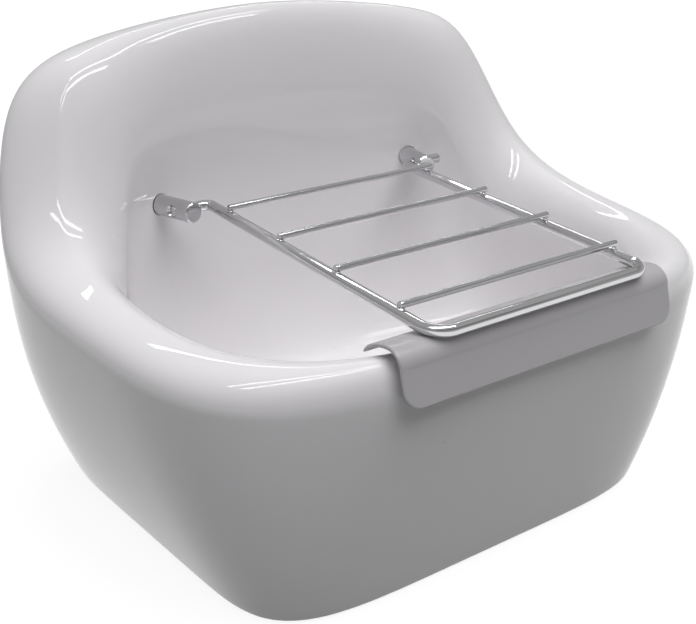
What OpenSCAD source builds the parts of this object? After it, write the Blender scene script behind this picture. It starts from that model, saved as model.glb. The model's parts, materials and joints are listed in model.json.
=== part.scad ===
// Wall-hung mop service sink: a glazed china basin with a high splash back,
// a wire bucket grating hinged on two posts, a rim saddle and a screw-down strainer waste.
// X is to the right seen from the front, +Y is towards the wall and +Z is up.
// The origin is at the middle of the footprint, at the height of the foot.
// A depth "d" is a distance measured from the wall towards the front.

/* [Basin plan] */
// Width over the rim, measured across the middle of the bowl
rim_w = 486; // [400:1:600]
// Depth of the basin from the wall to the front of the rim
basin_d = 355; // [300:1:430]
// How much each side of the rim leans in from the wall to the front
rim_taper = 30; // [0:1:40]
// Width of the foot, measured across the middle of the bowl
foot_w = 368; // [340:1:440]
// Depth of the foot from the wall to its front edge
foot_d = 312; // [285:1:380]
// How much each side of the foot leans in from the wall to the front
foot_taper = 10; // [0:1:30]
// Squareness of the front corners at the rim, where 2 is an ellipse
rim_front_square = 3.2; // [2.4:0.1:6]
// Squareness of the back corners at the rim
rim_back_square = 3.4; // [2.6:0.1:8]
// Squareness of the front corners at the foot
foot_front_square = 5.3; // [3:0.1:8]
// Squareness of the back corners at the foot
foot_back_square = 8; // [4:0.1:10]
// How far the back outline is ground off flat for the wall
wall_flat = 8; // [4:0.5:14]

/* [Basin heights] */
// Height of the rim at the front
front_h = 186; // [160:1:240]
// Rise of the splash back over the front rim
splash_rise = 150; // [110:1:200]
// Depth at which the rim has fallen half way down from the splash back
splash_run = 57; // [45:1:75]
// Steepness of the fall of the rim
splash_power = 3.1; // [2.4:0.1:4.5]
// Steady slope of the rim, in height per depth
rim_slope = 0.04; // [0:0.01:0.08]
// How far the top of the splash back drops at its ends, as a part of its rise
splash_arch = 0.19; // [0:0.01:0.25]
// Shape of that arch, where 2 is a parabola
arch_power = 1.8; // [1.4:0.1:3]
// Height over which the skirt swells out from the foot
swell_h = 227; // [150:1:260]
// Fullness of the swelling
swell_power = 1.7; // [1.2:0.1:2.6]

/* [Rolled rim] */
// Height of the outer roll under the rim's crest
roll_h = 26; // [16:1:32]
// Distance from the front face to the crest
roll_front = 11; // [8:1:24]
// Distance from the side face to the crest
roll_side = 33; // [20:1:40]
// Distance from the ground-off back outline to the crest
roll_back = 42; // [30:1:50]
// Depth of the flare inside the crest at the front
flare_front = 24; // [16:1:34]
// Depth of the flare inside the crest at the splash back
flare_back = 85; // [50:1:95]

/* [Bowl] */
// Distance from the front face to the bowl
wall_front = 35; // [32:1:50]
// Distance from the side face to the bowl
wall_side = 63; // [60:1:90]
// Distance from the wall to the bowl
wall_back = 58; // [46:1:70]
// Squareness of the bowl's front corners
bowl_front_square = 2.7; // [2.2:0.1:4]
// Squareness of the bowl's back corners
bowl_back_square = 3.2; // [2.6:0.1:5]
// Height of the bowl's floor at the strainer
floor_z = 60; // [58:1:80]
// Fall of the floor from its edge to the strainer
floor_fall = 5; // [2:1:10]
// Distance that the rounded foot of the bowl's walls takes up
bowl_fillet = 42; // [28:1:50]
// Tightness of that rounding, where 2 is a circle
fillet_power = 3; // [2:0.1:4]
// Thickness of the china
china_t = 9; // [7:0.5:9.5]
// Thickness of the bowl's floor at the strainer
floor_t = 12; // [10:0.5:14]
// Width of the china at the foot
foot_t = 13; // [10:0.5:15]
// Radius of the foot's outer edge
foot_round = 4; // [2:0.5:6]

/* [Wall fixing] */
// Distance between the two wall bolt holes
wall_bolt_span = 200; // [160:1:230]
// Diameter of a wall bolt hole
wall_bolt_d = 14; // [10:0.5:16]
// Height of the wall bolt holes
wall_bolt_z = 110; // [90:1:130]

/* [Hinge] */
// Height of the hinge line
hinge_z = 218; // [205:0.5:230]
// Distance from the middle of the sink to a post, at the hinge line
hinge_x = 112; // [104:1:118]
// Angle by which each post is turned inwards
post_turn = 14; // [0:1:24]
// Diameter of a post
post_d = 15.5; // [13:0.5:18]
// Length of a post from its gasket to the hinge line
post_reach = 22.8; // [19:0.1:30]
// Length of a post from the hinge line to its nose
post_nose = 14; // [10:0.5:16]
// Chamfer of the nose
post_chamfer = 1; // [0.5:0.1:1.5]
// Countersink round each end of the cross hole
cross_sink = 0.8; // [0.4:0.1:1.2]
// Diameter of the threaded stud
stud_d = 8; // [6:1:8]
// Depth of the stud in the post
stud_grip = 12; // [8:1:14]
// Thickness of the gasket
gasket_t = 1; // [0.5:0.1:2]
// Diameter of the flat seat in the glaze
seat_d = 20; // [18:0.5:22]
// Diameter of the rear washer
washer_d = 24; // [20:1:28]
// Thickness of the rear washer
washer_t = 1.6; // [1:0.1:3]
// Width of the nut across its flats
nut_af = 13; // [12:0.5:14]
// Thickness of the nut
nut_t = 6.5; // [5:0.5:8]
// Length of stud that shows past the nut
stud_past = 4; // [2:0.5:8]

/* [Grating] */
// Diameter of the frame rod
rod_d = 8; // [6:0.5:9]
// Width of the frame between rod centres
grate_w = 185; // [160:1:188]
// Distance that the grating sits to the right between its posts
grate_shift = 4; // [0:0.5:5]
// Bend radius at the hinge pins, to the rod's centre line
pin_bend = 6; // [5:0.5:8]
// Bend radius of the front corners, to the rod's centre line
corner_bend = 15; // [10:1:30]
// Length of the left pin past its post, less than 0 inside it
pin_past_left = -1; // [-2:0.5:4]
// Length of the right pin past its post
pin_past_right = 12; // [4:0.5:16]
// Distance from the front face of the rim back to the front rod
front_rod_in = 2; // [0:1:12]
// Diameter of a cross wire
wire_d = 5; // [3:0.5:6]
// Number of cross wires
wire_n = 4; // [4:1:4]
// Distance from the hinge line to the first wire
wire_first = 29; // [18:1:32]
// Distance from the last wire to the front rod
wire_last = 33; // [24:1:45]
// Length of a wire past the left rod's centre line
wire_past_left = 1; // [0:0.5:9]
// Length of a wire past the right rod's centre line
wire_past_right = 3.5; // [0:0.5:9]
// Depth by which a welded wire sinks into the rod
weld_sink = 0.4; // [0.2:0.1:0.8]

/* [Saddle] */
// Length of the saddle along the rim
saddle_w = 232; // [200:1:240]
// Thickness of the saddle's plastic
saddle_t = 2.8; // [2:0.1:4]
// Clearance of the saddle's crown over the rim
saddle_rise = 6.5; // [3:0.5:9]
// Distance from the front face of the rim back to the top of the crown
saddle_crown_in = 17; // [14:1:24]
// Distance from the crown back to the inner edge
saddle_inner = 23; // [18:1:28]
// Drop of the inner edge under the crown
saddle_inner_drop = 11; // [8:0.5:14]
// Drop of the front leg under the crown
saddle_drop = 36; // [26:1:44]
// Drop of the shoulder, where the front leg starts, under the crown
saddle_shoulder = 12; // [8:1:16]
// How far the front leg splays out towards its lower edge
saddle_splay = 6; // [0:0.5:8]
// Radius of the front leg's two lower corners
saddle_corner = 12; // [4:1:20]
// Gap that keeps the legs off the glaze
saddle_gap = 0.3; // [0.2:0.1:0.6]

/* [Waste] */
// Diameter of the hole in the china
waste_hole_d = 46; // [44:1:48]
// Diameter of the strainer's flange
strainer_d = 72; // [66:1:76]
// Thickness of the strainer's flange at its edge
strainer_t = 2; // [1.5:0.1:3]
// Depth of the strainer's dish
strainer_dish = 4; // [2:0.5:5]
// Diameter of the strainer's skirt
skirt_d = 38; // [34:1:39]
// Length of the strainer's skirt
skirt_l = 14; // [10:1:18]
// Wall of the strainer's skirt
skirt_t = 1.5; // [1:0.1:2]
// Number of drain slots
slot_n = 8; // [6:1:10]
// Width of a drain slot
slot_w = 4.4; // [3:0.2:5]
// Thickness of the seal on the floor
top_seal_t = 1.5; // [1:0.1:3]
// Thickness of the seal under the floor
low_seal_t = 3; // [2:0.1:5]
// Outer diameter of the tail's thread
tail_d = 47.8; // [46:0.1:48]
// Wall of the tail
tail_t = 3.6; // [2.5:0.1:4]
// Diameter of the tail's flange
tail_flange_d = 64; // [60:1:70]
// Thickness of the tail's flange
tail_flange_t = 4; // [3:0.5:6]
// Height of the tail's end over the foot
tail_end_z = 4; // [2:1:10]
// Diameter of the clamping screw
screw_d = 6; // [5:0.5:8]
// Diameter of the screw's head
screw_head_d = 12; // [10:0.5:14]
// Height of the screw's head
screw_head_t = 3; // [2:0.5:4]

/* [Fits] */
// Radial clearance between a hinge pin and its post
pin_fit = 0.1; // [0.05:0.01:0.1]
// Radial clearance of studs, screws and spigots in their holes
hole_fit = 0.3; // [0.1:0.1:0.8]
// Clearance between the resting grating and the saddle
rest_gap = 0.2; // [0.1:0.1:0.4]

/* [Hidden] */

// Steps round the basin, and steps along each stretch of its section
ring_n = 84;
edge_step = 36;
skirt_n = 7;
roll_n = 7;
flare_n = 8;
bowl_n = 8;
under_n = 5;
eps = 0.01;
$fn = 64;

china = [0.93, 0.94, 0.95];
plastic = [0.96, 0.96, 0.95];
chrome = [0.72, 0.73, 0.75];
steel = [0.62, 0.63, 0.65];
rubber = [0.16, 0.16, 0.17];
soft_white = [0.85, 0.86, 0.86];
brass = [0.80, 0.66, 0.38];

// How far the skirt has swollen from foot to rim at a height, 0 to 1
function swell(z) = 1 - pow(1 - min(max(z, 0) / swell_h, 1), swell_power);
function mix(a, b, k) = a + (b - a) * k;

// The saddle's leg clears the front face low on the roll, and splays out from its shoulder.
// Its lower edge is the foremost point, so it sets the footprint together with the wall.
face_drop = 0.65 * roll_h;
face_d = mix(foot_d, basin_d, swell(front_h)) - 0.06 * roll_front;
splay_run = saddle_rise + saddle_t + face_drop - saddle_shoulder;
shoulder_d = face_d + saddle_gap + saddle_t - saddle_splay * splay_run / (saddle_drop - saddle_shoulder);
saddle_front = shoulder_d + saddle_splay;
wall_y = saddle_front / 2;
bowl_front = basin_d - wall_front;
bowl_c = (wall_back + bowl_front) / 2;

// ---- plan outlines -------------------------------------------------------------------

// Sign-keeping power
function spow(v, e) = sign(v) * pow(abs(v), e);

// Ray directions, a little closer together at the corners: 0 is the front, 180 the wall
guide_square = 2.5;
guide_wide = 1.4;
rays = [for (i = [0:ring_n - 1]) let (t = 360 * i / ring_n)
  atan2(guide_wide * spow(sin(t), 2 / guide_square), spow(cos(t), 2 / guide_square))];
edge_ray = rays[edge_step];

// Distance from the bowl's centre to a squared ellipse with half-width w, front f and back b
function reach(a, w, f, b, nf, nb) =
  let (n = cos(a) > 0 ? nf : nb, e = cos(a) > 0 ? f : b)
  pow(pow(abs(sin(a)) / w, n) + pow(abs(cos(a)) / e, n), -1 / n);

// Plan point [x, d] at a radius on a ray; lean narrows the outline towards the front
function plan(a, r, lean) =
  let (d = bowl_c + r * cos(a))
  [-r * sin(a) * (1 - lean * (d - bowl_c)), d];

// A point of the basin from a plan point and a height
function at(p, z) = [p[0], wall_y - p[1], z];

// ---- basin surfaces ------------------------------------------------------------------

// Angle, from the back, at which an outline with back extent b reaches the wall's plane
function wall_edge(w, b, nb) =
  b > bowl_c ? atan(w * pow(1 - pow(bowl_c / b, nb), 1 / nb) / bowl_c) : 180 - edge_ray;
// Moves the rays along so that one of them always follows the edge of the ground-off back
function warp(a, edge) =
  sign(a) * (abs(a) < edge_ray ? abs(a) * (180 - edge) / edge_ray
    : 180 - (180 - abs(a)) * edge / (180 - edge_ray));

// Outer skin at height z; roll from 0 to 1 moves it in over the rim, inset moves it in all round
function skin(a, z, roll, inset) =
  let (k = swell(z),
    w = mix(foot_w, rim_w, k) / 2 - roll * roll_side - inset,
    f = mix(foot_d, basin_d, k) - roll * roll_front - inset - bowl_c,
    b = bowl_c + wall_flat - roll * roll_back,
    nf = mix(foot_front_square, rim_front_square, k),
    nb = mix(foot_back_square, rim_back_square, k),
    lean = mix(foot_taper / foot_w, rim_taper / rim_w, k) * 2 / basin_d,
    c = warp(a, wall_edge(w, b, nb)),
    p = plan(c, reach(c, w, f, b, nf, nb), lean))
  [p[0], max(p[1], inset < china_t ? 0 : inset)];

// Height of the rim's crest over a plan point
function rim_z(p) = front_h + rim_slope * (basin_d - max(0, p[1]))
  + splash_rise / (1 + pow(max(0, p[1]) / splash_run, splash_power))
  * (1 - splash_arch * pow(abs(p[0]) / (rim_w / 2), arch_power));
function crest_z(a) = rim_z(skin(a, swell_h, 0, 0));

// The bowl's outline, grown outwards by g and scaled about its centre by s
function bowl_plan(a, g, s) =
  let (w = rim_w / 2 - wall_side, f = bowl_front - bowl_c, b = bowl_c - wall_back)
  plan(a, reach(a, w * s + g, f * s + g, b * s + g, bowl_front_square, bowl_back_square), 0);

// Depth of the flare under the crest on a ray, and the height of the bowl's mouth there
function flare(a) = mix(flare_front, flare_back, (1 - cos(a)) / 2);
function mouth_z(a) = crest_z(a) - flare(a);

// The bowl's wall turns from the floor at q = 0 to upright at q = 90
bowl_least = bowl_front - bowl_c;
floor_scale = 1 - bowl_fillet / bowl_least;
function bowl_scale(q) = mix(floor_scale, 1, pow(sin(q), 2 / fillet_power));
function bowl_z(a, q) = mix(floor_z + floor_fall, mouth_z(a), 1 - pow(cos(q), 2 / fillet_power));
// The angle q at a height, for what is fixed to the wall
function bowl_q(a, z) =
  acos(pow(1 - (z - floor_z - floor_fall) / (mouth_z(a) - floor_z - floor_fall), fillet_power / 2));

// ---- basin section on one ray, from the foot over the rim and down to the waste -------

waste_open = waste_hole_d / 2 - 4;
waste_flat = strainer_d / 2 + 8;

function circle_plan(a, r) = plan(a, r, 0);
function foot_edge(a) =
  [for (q = [0, 30, 60]) let (z = foot_round * (1 - cos(q)))
    at(skin(a, z, 0, foot_round * (1 - sin(q))), z)];
function outer_side(a) =
  let (top = crest_z(a) - roll_h)
  [for (i = [0:skirt_n]) let (z = mix(foot_round, top, i / skirt_n)) at(skin(a, z, 0, 0), z)];
function outer_roll(a) =
  let (zc = crest_z(a))
  [for (i = [1:roll_n]) let (q = 90 * i / roll_n)
    at(skin(a, zc, 1 - cos(q), 0), zc - roll_h * (1 - sin(q)))];
// The flare turns from level at the crest, where q = 0, to upright at the mouth, where q = 90;
// out moves it out along the ray, for its underside
function flare_at(a, q, out) =
  let (zc = crest_z(a), p = mix(skin(a, zc, 1, 0), bowl_plan(a, 0, 1), sin(q)))
  at(p + out * [-sin(a), cos(a)], zc - flare(a) * (1 - cos(q)));
function inner_flare(a) = [for (i = [1:flare_n]) flare_at(a, 90 * i / flare_n, 0)];
function bowl_wall(a) =
  [for (i = [1:bowl_n]) let (q = 90 - 90 * i / bowl_n)
    at(bowl_plan(a, 0, bowl_scale(q)), bowl_z(a, q))];
function bowl_floor(a) = [
  at(circle_plan(a, waste_flat), floor_z),
  at(circle_plan(a, waste_open), floor_z),
  at(circle_plan(a, waste_open), floor_z - floor_t),
  at(circle_plan(a, waste_flat - 4), floor_z - floor_t)];
function bowl_under(a) =
  [for (i = [0:under_n]) let (q = 90 * i / under_n)
    at(bowl_plan(a, china_t * sin(q), bowl_scale(q)), bowl_z(a, q) - mix(floor_t, china_t, sin(q)) * cos(q))];
// The hollow under the rim: up behind the flare, over a low arch, and down behind the skirt
arch_h = 5;
under_drop = roll_h + china_t / 2 + arch_h;
function rim_under(a) =
  let (q = acos(1 - min(under_drop, flare(a) - 2) / flare(a)),
    inner = flare_at(a, q, china_t),
    z = crest_z(a) - under_drop,
    outer = at(skin(a, z, 0, china_t), z))
  [flare_at(a, (90 + q) / 2, china_t), inner,
    mix(inner, outer, 0.5) + [0, 0, arch_h * 0.6], outer];
function inner_side(a) =
  let (top = crest_z(a) - under_drop)
  [for (i = [1:under_n]) let (z = top * (1 - i / under_n))
    at(skin(a, z, 0, mix(foot_t, china_t, min(1, z / 40))), z)];
function section(a) = concat(foot_edge(a), outer_side(a), outer_roll(a), inner_flare(a),
  bowl_wall(a), bowl_floor(a), bowl_under(a), rim_under(a), inner_side(a));

// Closed both round the basin and along the section, like a ring with a hole for the waste
module basin_casting() {
  sections = [for (a = rays) section(a)];
  m = len(sections[0]);
  points = [for (s = sections) for (p = s) p];
  faces = [for (i = [0:ring_n - 1]) for (j = [0:m - 1])
    let (i2 = (i + 1) % ring_n, j2 = (j + 1) % m)
    for (f = [[i * m + j, i2 * m + j2, i2 * m + j], [i * m + j, i * m + j2, i2 * m + j2]]) f];
  polyhedron(points = points, faces = faces, convexity = 10);
}

// ---- hinge frame ---------------------------------------------------------------------

// The post meets the bowl's back wall at this plan point, worked out on the wall's outline
seat_x = hinge_x + (post_reach + gasket_t) * sin(post_turn);
seat_ray = 180 - atan(seat_x / (bowl_c - wall_back));
seat_scale = bowl_scale(bowl_q(seat_ray, hinge_z));
seat_half = (rim_w / 2 - wall_side) * seat_scale;
seat_back = (bowl_c - wall_back) * seat_scale;
seat_sink = 1.2;
wall_d = bowl_c - seat_back * pow(1 - pow(seat_x / seat_half, bowl_back_square), 1 / bowl_back_square);
seat_at = wall_d - seat_sink * cos(post_turn);
hinge_d = seat_at + (post_reach + gasket_t) * cos(post_turn);
rear_face = china_t - 2.2;

// Puts a child, drawn along +Z from the seat towards the nose, in place; side is -1 or 1
module on_seat(side, out) {
  translate([side * seat_x, wall_y - seat_at, hinge_z])
    rotate([90, 0, -side * post_turn])
      translate([0, 0, out])
        children();
}

module stud_hole(side) {
  on_seat(side, -china_t - 40) cylinder(d = stud_d + 2 * hole_fit + 1, h = china_t + 60);
  on_seat(side, 0) cylinder(d = seat_d, h = 12);
  on_seat(side, -rear_face - 14) cylinder(d = washer_d + 4, h = 14);
}

module basin() {
  color(china)
    difference() {
      basin_casting();
      for (side = [-1, 1]) stud_hole(side);
      for (side = [-1, 1])
        translate([side * wall_bolt_span / 2, wall_y + 1, wall_bolt_z])
          rotate([90, 0, 0]) cylinder(d = wall_bolt_d, h = china_t + 20);
      translate([0, wall_y - bowl_c, floor_z - floor_t - 1]) cylinder(d = waste_hole_d, h = floor_t + 30);
      translate([0, wall_y - bowl_c, floor_z - recess_depth]) cylinder(d = strainer_d + 4, h = 30);
    }
}

// ---- hinge pieces --------------------------------------------------------------------

bore_d = rod_d + 2 * pin_fit;

module hinge_post(side) {
  color(chrome)
    difference() {
      on_seat(side, gasket_t) {
        cylinder(d = post_d, h = post_reach + post_nose - post_chamfer);
        translate([0, 0, post_reach + post_nose - post_chamfer])
          cylinder(d1 = post_d, d2 = post_d - 2 * post_chamfer, h = post_chamfer);
      }
      on_seat(side, gasket_t - 1) cylinder(d = stud_d, h = stud_grip + 1);
      translate([side * hinge_x - post_d, wall_y - hinge_d, hinge_z])
        rotate([0, 90, 0]) cylinder(d = bore_d, h = 2 * post_d);
      for (end = [-1, 1])
        translate([side * hinge_x + end * (post_d / 2 / cos(post_turn)), wall_y - hinge_d, hinge_z])
          rotate([0, end * 90, 0])
            translate([0, 0, -1.6]) cylinder(d1 = bore_d, d2 = bore_d + 4 * cross_sink, h = 2 * cross_sink + 1);
    }
}

module hinge_gasket(side) {
  color(soft_white)
    on_seat(side, 0)
      difference() {
        cylinder(d = post_d, h = gasket_t);
        translate([0, 0, -1]) cylinder(d = stud_d + 2 * hole_fit, h = gasket_t + 2);
      }
}

module hinge_stud(side) {
  color(steel)
    on_seat(side, -rear_face - washer_t - nut_t - stud_past)
      cylinder(d = stud_d, h = stud_past + nut_t + washer_t + rear_face + gasket_t + stud_grip - 0.5);
}

module hinge_washer(side) {
  color(steel)
    on_seat(side, -rear_face - washer_t)
      difference() {
        cylinder(d = washer_d, h = washer_t);
        translate([0, 0, -1]) cylinder(d = stud_d + 2 * hole_fit, h = washer_t + 2);
      }
}

module hinge_nut(side) {
  color(brass)
    on_seat(side, -rear_face - washer_t - nut_t)
      difference() {
        cylinder(d = nut_af / cos(30), h = nut_t, $fn = 6);
        translate([0, 0, -1]) cylinder(d = stud_d, h = nut_t + 2);
      }
}

// ---- grating -------------------------------------------------------------------------

// Height of the flare under the ends of the saddle's inner edge, so that the saddle clears it
ends_p = [saddle_w / 2, basin_d - saddle_crown_in - saddle_inner];
ends_a = -atan(ends_p[0] / (ends_p[1] - bowl_c));
ends_r = [for (p = [skin(ends_a, crest_z(ends_a), 1, 0), bowl_plan(ends_a, 0, 1), ends_p]) norm(p - [0, bowl_c])];
ends_q = asin(min(1, max(0, (ends_r[0] - ends_r[2]) / (ends_r[0] - ends_r[1]))));
ends_z = crest_z(ends_a) - flare(ends_a) * (1 - cos(ends_q));

// The rods slope from the hinge line down to the saddle's crown
crown_d = basin_d - saddle_crown_in;
crown_z = max(rim_z([0, crown_d]) + saddle_rise + saddle_t, ends_z + saddle_gap + saddle_inner_drop);
rest_z = crown_z + rod_d / 2 + rest_gap;
front_rod_d = basin_d - front_rod_in - rod_d / 2;
grate_fall = atan((hinge_z - rest_z) / (crown_d - hinge_d));
grate_l = (front_rod_d - hinge_d) / cos(grate_fall);
wire_pitch = (grate_l - wire_first - wire_last) / (wire_n - 1);

// The grating is drawn flat with the hinge line on X and its front towards -Y, then laid down
module on_hinge() {
  translate([grate_shift, wall_y - hinge_d, hinge_z])
    rotate([grate_fall, 0, 0])
      children();
}

// A straight rod between two points of the flat grating
module rod_between(p, q, d) {
  v = q - p;
  translate(p)
    rotate([0, acos(v[2] / norm(v)), atan2(v[1], v[0])])
      cylinder(d = d, h = norm(v));
}

// A quarter bend of rod round the point c, from angle a0 to a0 + 90
module bend(c, r, a0) {
  translate(c) rotate([0, 0, a0]) rotate_extrude(angle = 90) translate([r, 0]) circle(d = rod_d);
}

pin_left = hinge_x + grate_shift + post_d / 2 / cos(post_turn) + pin_past_left;
pin_right = hinge_x - grate_shift + post_d / 2 / cos(post_turn) + pin_past_right;

module grate_frame() {
  half = grate_w / 2;
  color(chrome)
    on_hinge()
      union() {
        for (side = [-1, 1]) {
          tip = side < 0 ? pin_left : pin_right;
          rod_between([side * (half + pin_bend), 0, 0], [side * tip, 0, 0], rod_d);
          bend([side * (half + pin_bend), -pin_bend, 0], pin_bend, side < 0 ? 0 : 90);
          rod_between([side * half, -pin_bend, 0], [side * half, corner_bend - grate_l, 0], rod_d);
          bend([side * (half - corner_bend), corner_bend - grate_l, 0], corner_bend, side < 0 ? 180 : 270);
        }
        rod_between([corner_bend - half, -grate_l, 0], [half - corner_bend, -grate_l, 0], rod_d);
      }
}

module grate_wire(i) {
  y = -(wire_first + (i - 1) * wire_pitch);
  z = (rod_d + wire_d) / 2 - weld_sink;
  left = -grate_w / 2 - wire_past_left;
  right = grate_w / 2 + wire_past_right;
  color(chrome)
    on_hinge()
      rod_between([left, y, z], [right, y, z], wire_d);
}

// ---- saddle --------------------------------------------------------------------------

// The saddle's section as [depth, height] points: an inner arc, a front arc and a splayed leg.
// off moves it in from the outer face.
arc_n = 12;
function saddle_line(off) = concat(
  [for (i = [0:arc_n]) let (q = 90 * i / arc_n)
    [crown_d - (saddle_inner - off) * spow(cos(q), 1.2),
      crown_z - saddle_inner_drop + (saddle_inner_drop - off) * spow(sin(q), 1.2)]],
  [for (i = [1:arc_n]) let (q = 90 * i / arc_n)
    [crown_d + (shoulder_d - crown_d - off) * sin(q),
      crown_z - saddle_shoulder + (saddle_shoulder - off) * cos(q)]],
  [[saddle_front - off, crown_z - saddle_drop]]);

module rim_saddle() {
  outer = saddle_line(0);
  inner = saddle_line(saddle_t);
  profile = concat(outer, [for (i = [len(inner) - 1:-1:0]) inner[i]]);
  foot = crown_z - saddle_drop;
  color(plastic)
    difference() {
      translate([-saddle_w / 2, wall_y, 0])
        rotate([90, 0, 90])
          linear_extrude(saddle_w)
            polygon([for (p = profile) [-p[0], p[1]]]);
      for (side = [-1, 1])
        translate([side * (saddle_w / 2 - saddle_corner), wall_y - crown_d, foot + saddle_corner])
          rotate([90, 0, 0]) corner_cut(side);
    }
}

// What stands outside a quarter circle at a lower corner
module corner_cut(side) {
  difference() {
    translate([side > 0 ? 0 : -saddle_corner - 1, -saddle_corner - 1, 0])
      cube([saddle_corner + 1, saddle_corner + 1, 60]);
    translate([0, 0, -1]) cylinder(r = saddle_corner, h = 62);
  }
}

// ---- waste ---------------------------------------------------------------------------

recess_depth = strainer_t + top_seal_t;
seat_z = floor_z - recess_depth;
flange_z = seat_z + top_seal_t;
tail_flange_z = floor_z - floor_t - low_seal_t;
screw_l = flange_z - tail_flange_z + 22;
bar_t = 6;
bar_w = 12;

module on_waste(z) {
  translate([0, wall_y - bowl_c, z]) children();
}

module ring(d, hole, h) {
  difference() {
    cylinder(d = d, h = h);
    translate([0, 0, -1]) cylinder(d = hole, h = h + 2);
  }
}

// Dished flange with a skirt that goes down through the china, and radial drain slots
module waste_strainer() {
  r = strainer_d / 2;
  rd = skirt_d / 2;
  slot_in = screw_head_d / 2 + slot_w / 2 + 0.6;
  slot_out = rd - 3.4 - slot_w / 2;
  color(chrome)
    on_waste(flange_z)
      difference() {
        rotate_extrude()
          polygon([[0, -strainer_dish], [rd - skirt_t, -strainer_dish], [rd - skirt_t, -skirt_l],
            [rd, -skirt_l], [rd, 0], [r, 0], [r, strainer_t * 0.4], [r - 1.5, strainer_t],
            [rd + 2, strainer_t], [rd - 3, strainer_t - strainer_dish], [0, strainer_t - strainer_dish]]);
        translate([0, 0, -strainer_dish - 1]) cylinder(d = screw_d + 2 * hole_fit, h = strainer_t + 4);
        for (i = [0:slot_n - 1])
          rotate([0, 0, 360 * (i + 0.5) / slot_n])
            translate([0, 0, -strainer_dish - 1]) {
              translate([slot_in, 0, 0]) cylinder(d = slot_w, h = strainer_t + 4);
              translate([slot_out, 0, 0]) cylinder(d = slot_w, h = strainer_t + 4);
              translate([slot_in, -slot_w / 2, 0]) cube([slot_out - slot_in, slot_w, strainer_t + 4]);
            }
      }
}

module waste_screw() {
  z = flange_z + strainer_t - strainer_dish;
  color(steel)
    on_waste(z)
      difference() {
        union() {
          cylinder(d1 = screw_head_d, d2 = screw_head_d - 3, h = screw_head_t);
          translate([0, 0, -screw_l]) cylinder(d = screw_d, h = screw_l + eps);
        }
        translate([-screw_head_d, -0.8, screw_head_t - 1.2]) cube([2 * screw_head_d, 1.6, 4]);
      }
}

module waste_top_seal() {
  color(rubber) on_waste(seat_z) ring(strainer_d - 3, waste_hole_d, top_seal_t);
}

module waste_low_seal() {
  color(rubber) on_waste(tail_flange_z) ring(tail_flange_d - 2, waste_hole_d + 1, low_seal_t);
}

// Flanged tail with a bridge across its bore that the screw pulls up
module waste_body() {
  bore = tail_d - 2 * tail_t;
  tail_top = tail_flange_z - tail_flange_t;
  bar_z = flange_z - screw_l + 4;
  color(brass)
    on_waste(0)
      difference() {
        union() {
          translate([0, 0, tail_top]) cylinder(d = tail_flange_d, h = tail_flange_t);
          translate([0, 0, tail_end_z]) cylinder(d = tail_d, h = tail_top - tail_end_z + eps);
        }
        difference() {
          translate([0, 0, tail_end_z - 1]) cylinder(d = bore, h = tail_flange_z - tail_end_z + 2);
          translate([-tail_d / 2, -bar_w / 2, bar_z]) cube([tail_d, bar_w, bar_t]);
        }
        translate([0, 0, bar_z - 1]) cylinder(d = screw_d, h = bar_t + 2);
      }
}

// ---- nodes ---------------------------------------------------------------------------

basin();
rim_saddle();
grate_frame();
grate_wire(1);  // grate_wire_1
grate_wire(2);  // grate_wire_2
grate_wire(3);  // grate_wire_3
grate_wire(4);  // grate_wire_4
hinge_post(-1);  // hinge_post_left
hinge_post(1);  // hinge_post_right
hinge_gasket(-1);  // hinge_gasket_left
hinge_gasket(1);  // hinge_gasket_right
hinge_stud(-1);  // hinge_stud_left
hinge_stud(1);  // hinge_stud_right
hinge_washer(-1);  // hinge_washer_left
hinge_washer(1);  // hinge_washer_right
hinge_nut(-1);  // hinge_nut_left
hinge_nut(1);  // hinge_nut_right
waste_strainer();
waste_screw();
waste_top_seal();
waste_low_seal();
waste_body();
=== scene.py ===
# %% [markdown]
# A mop service sink is a deep china bowl that hangs on a wall. A wire grating, on which a
# bucket stands, is hinged on two posts in its back wall and rests on a plastic saddle over the
# rim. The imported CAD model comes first: it gives every size, place and joint, and the looks go
# round it.

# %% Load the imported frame
import json
import math

import bpy
import numpy as np
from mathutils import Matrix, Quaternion, Vector


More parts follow.
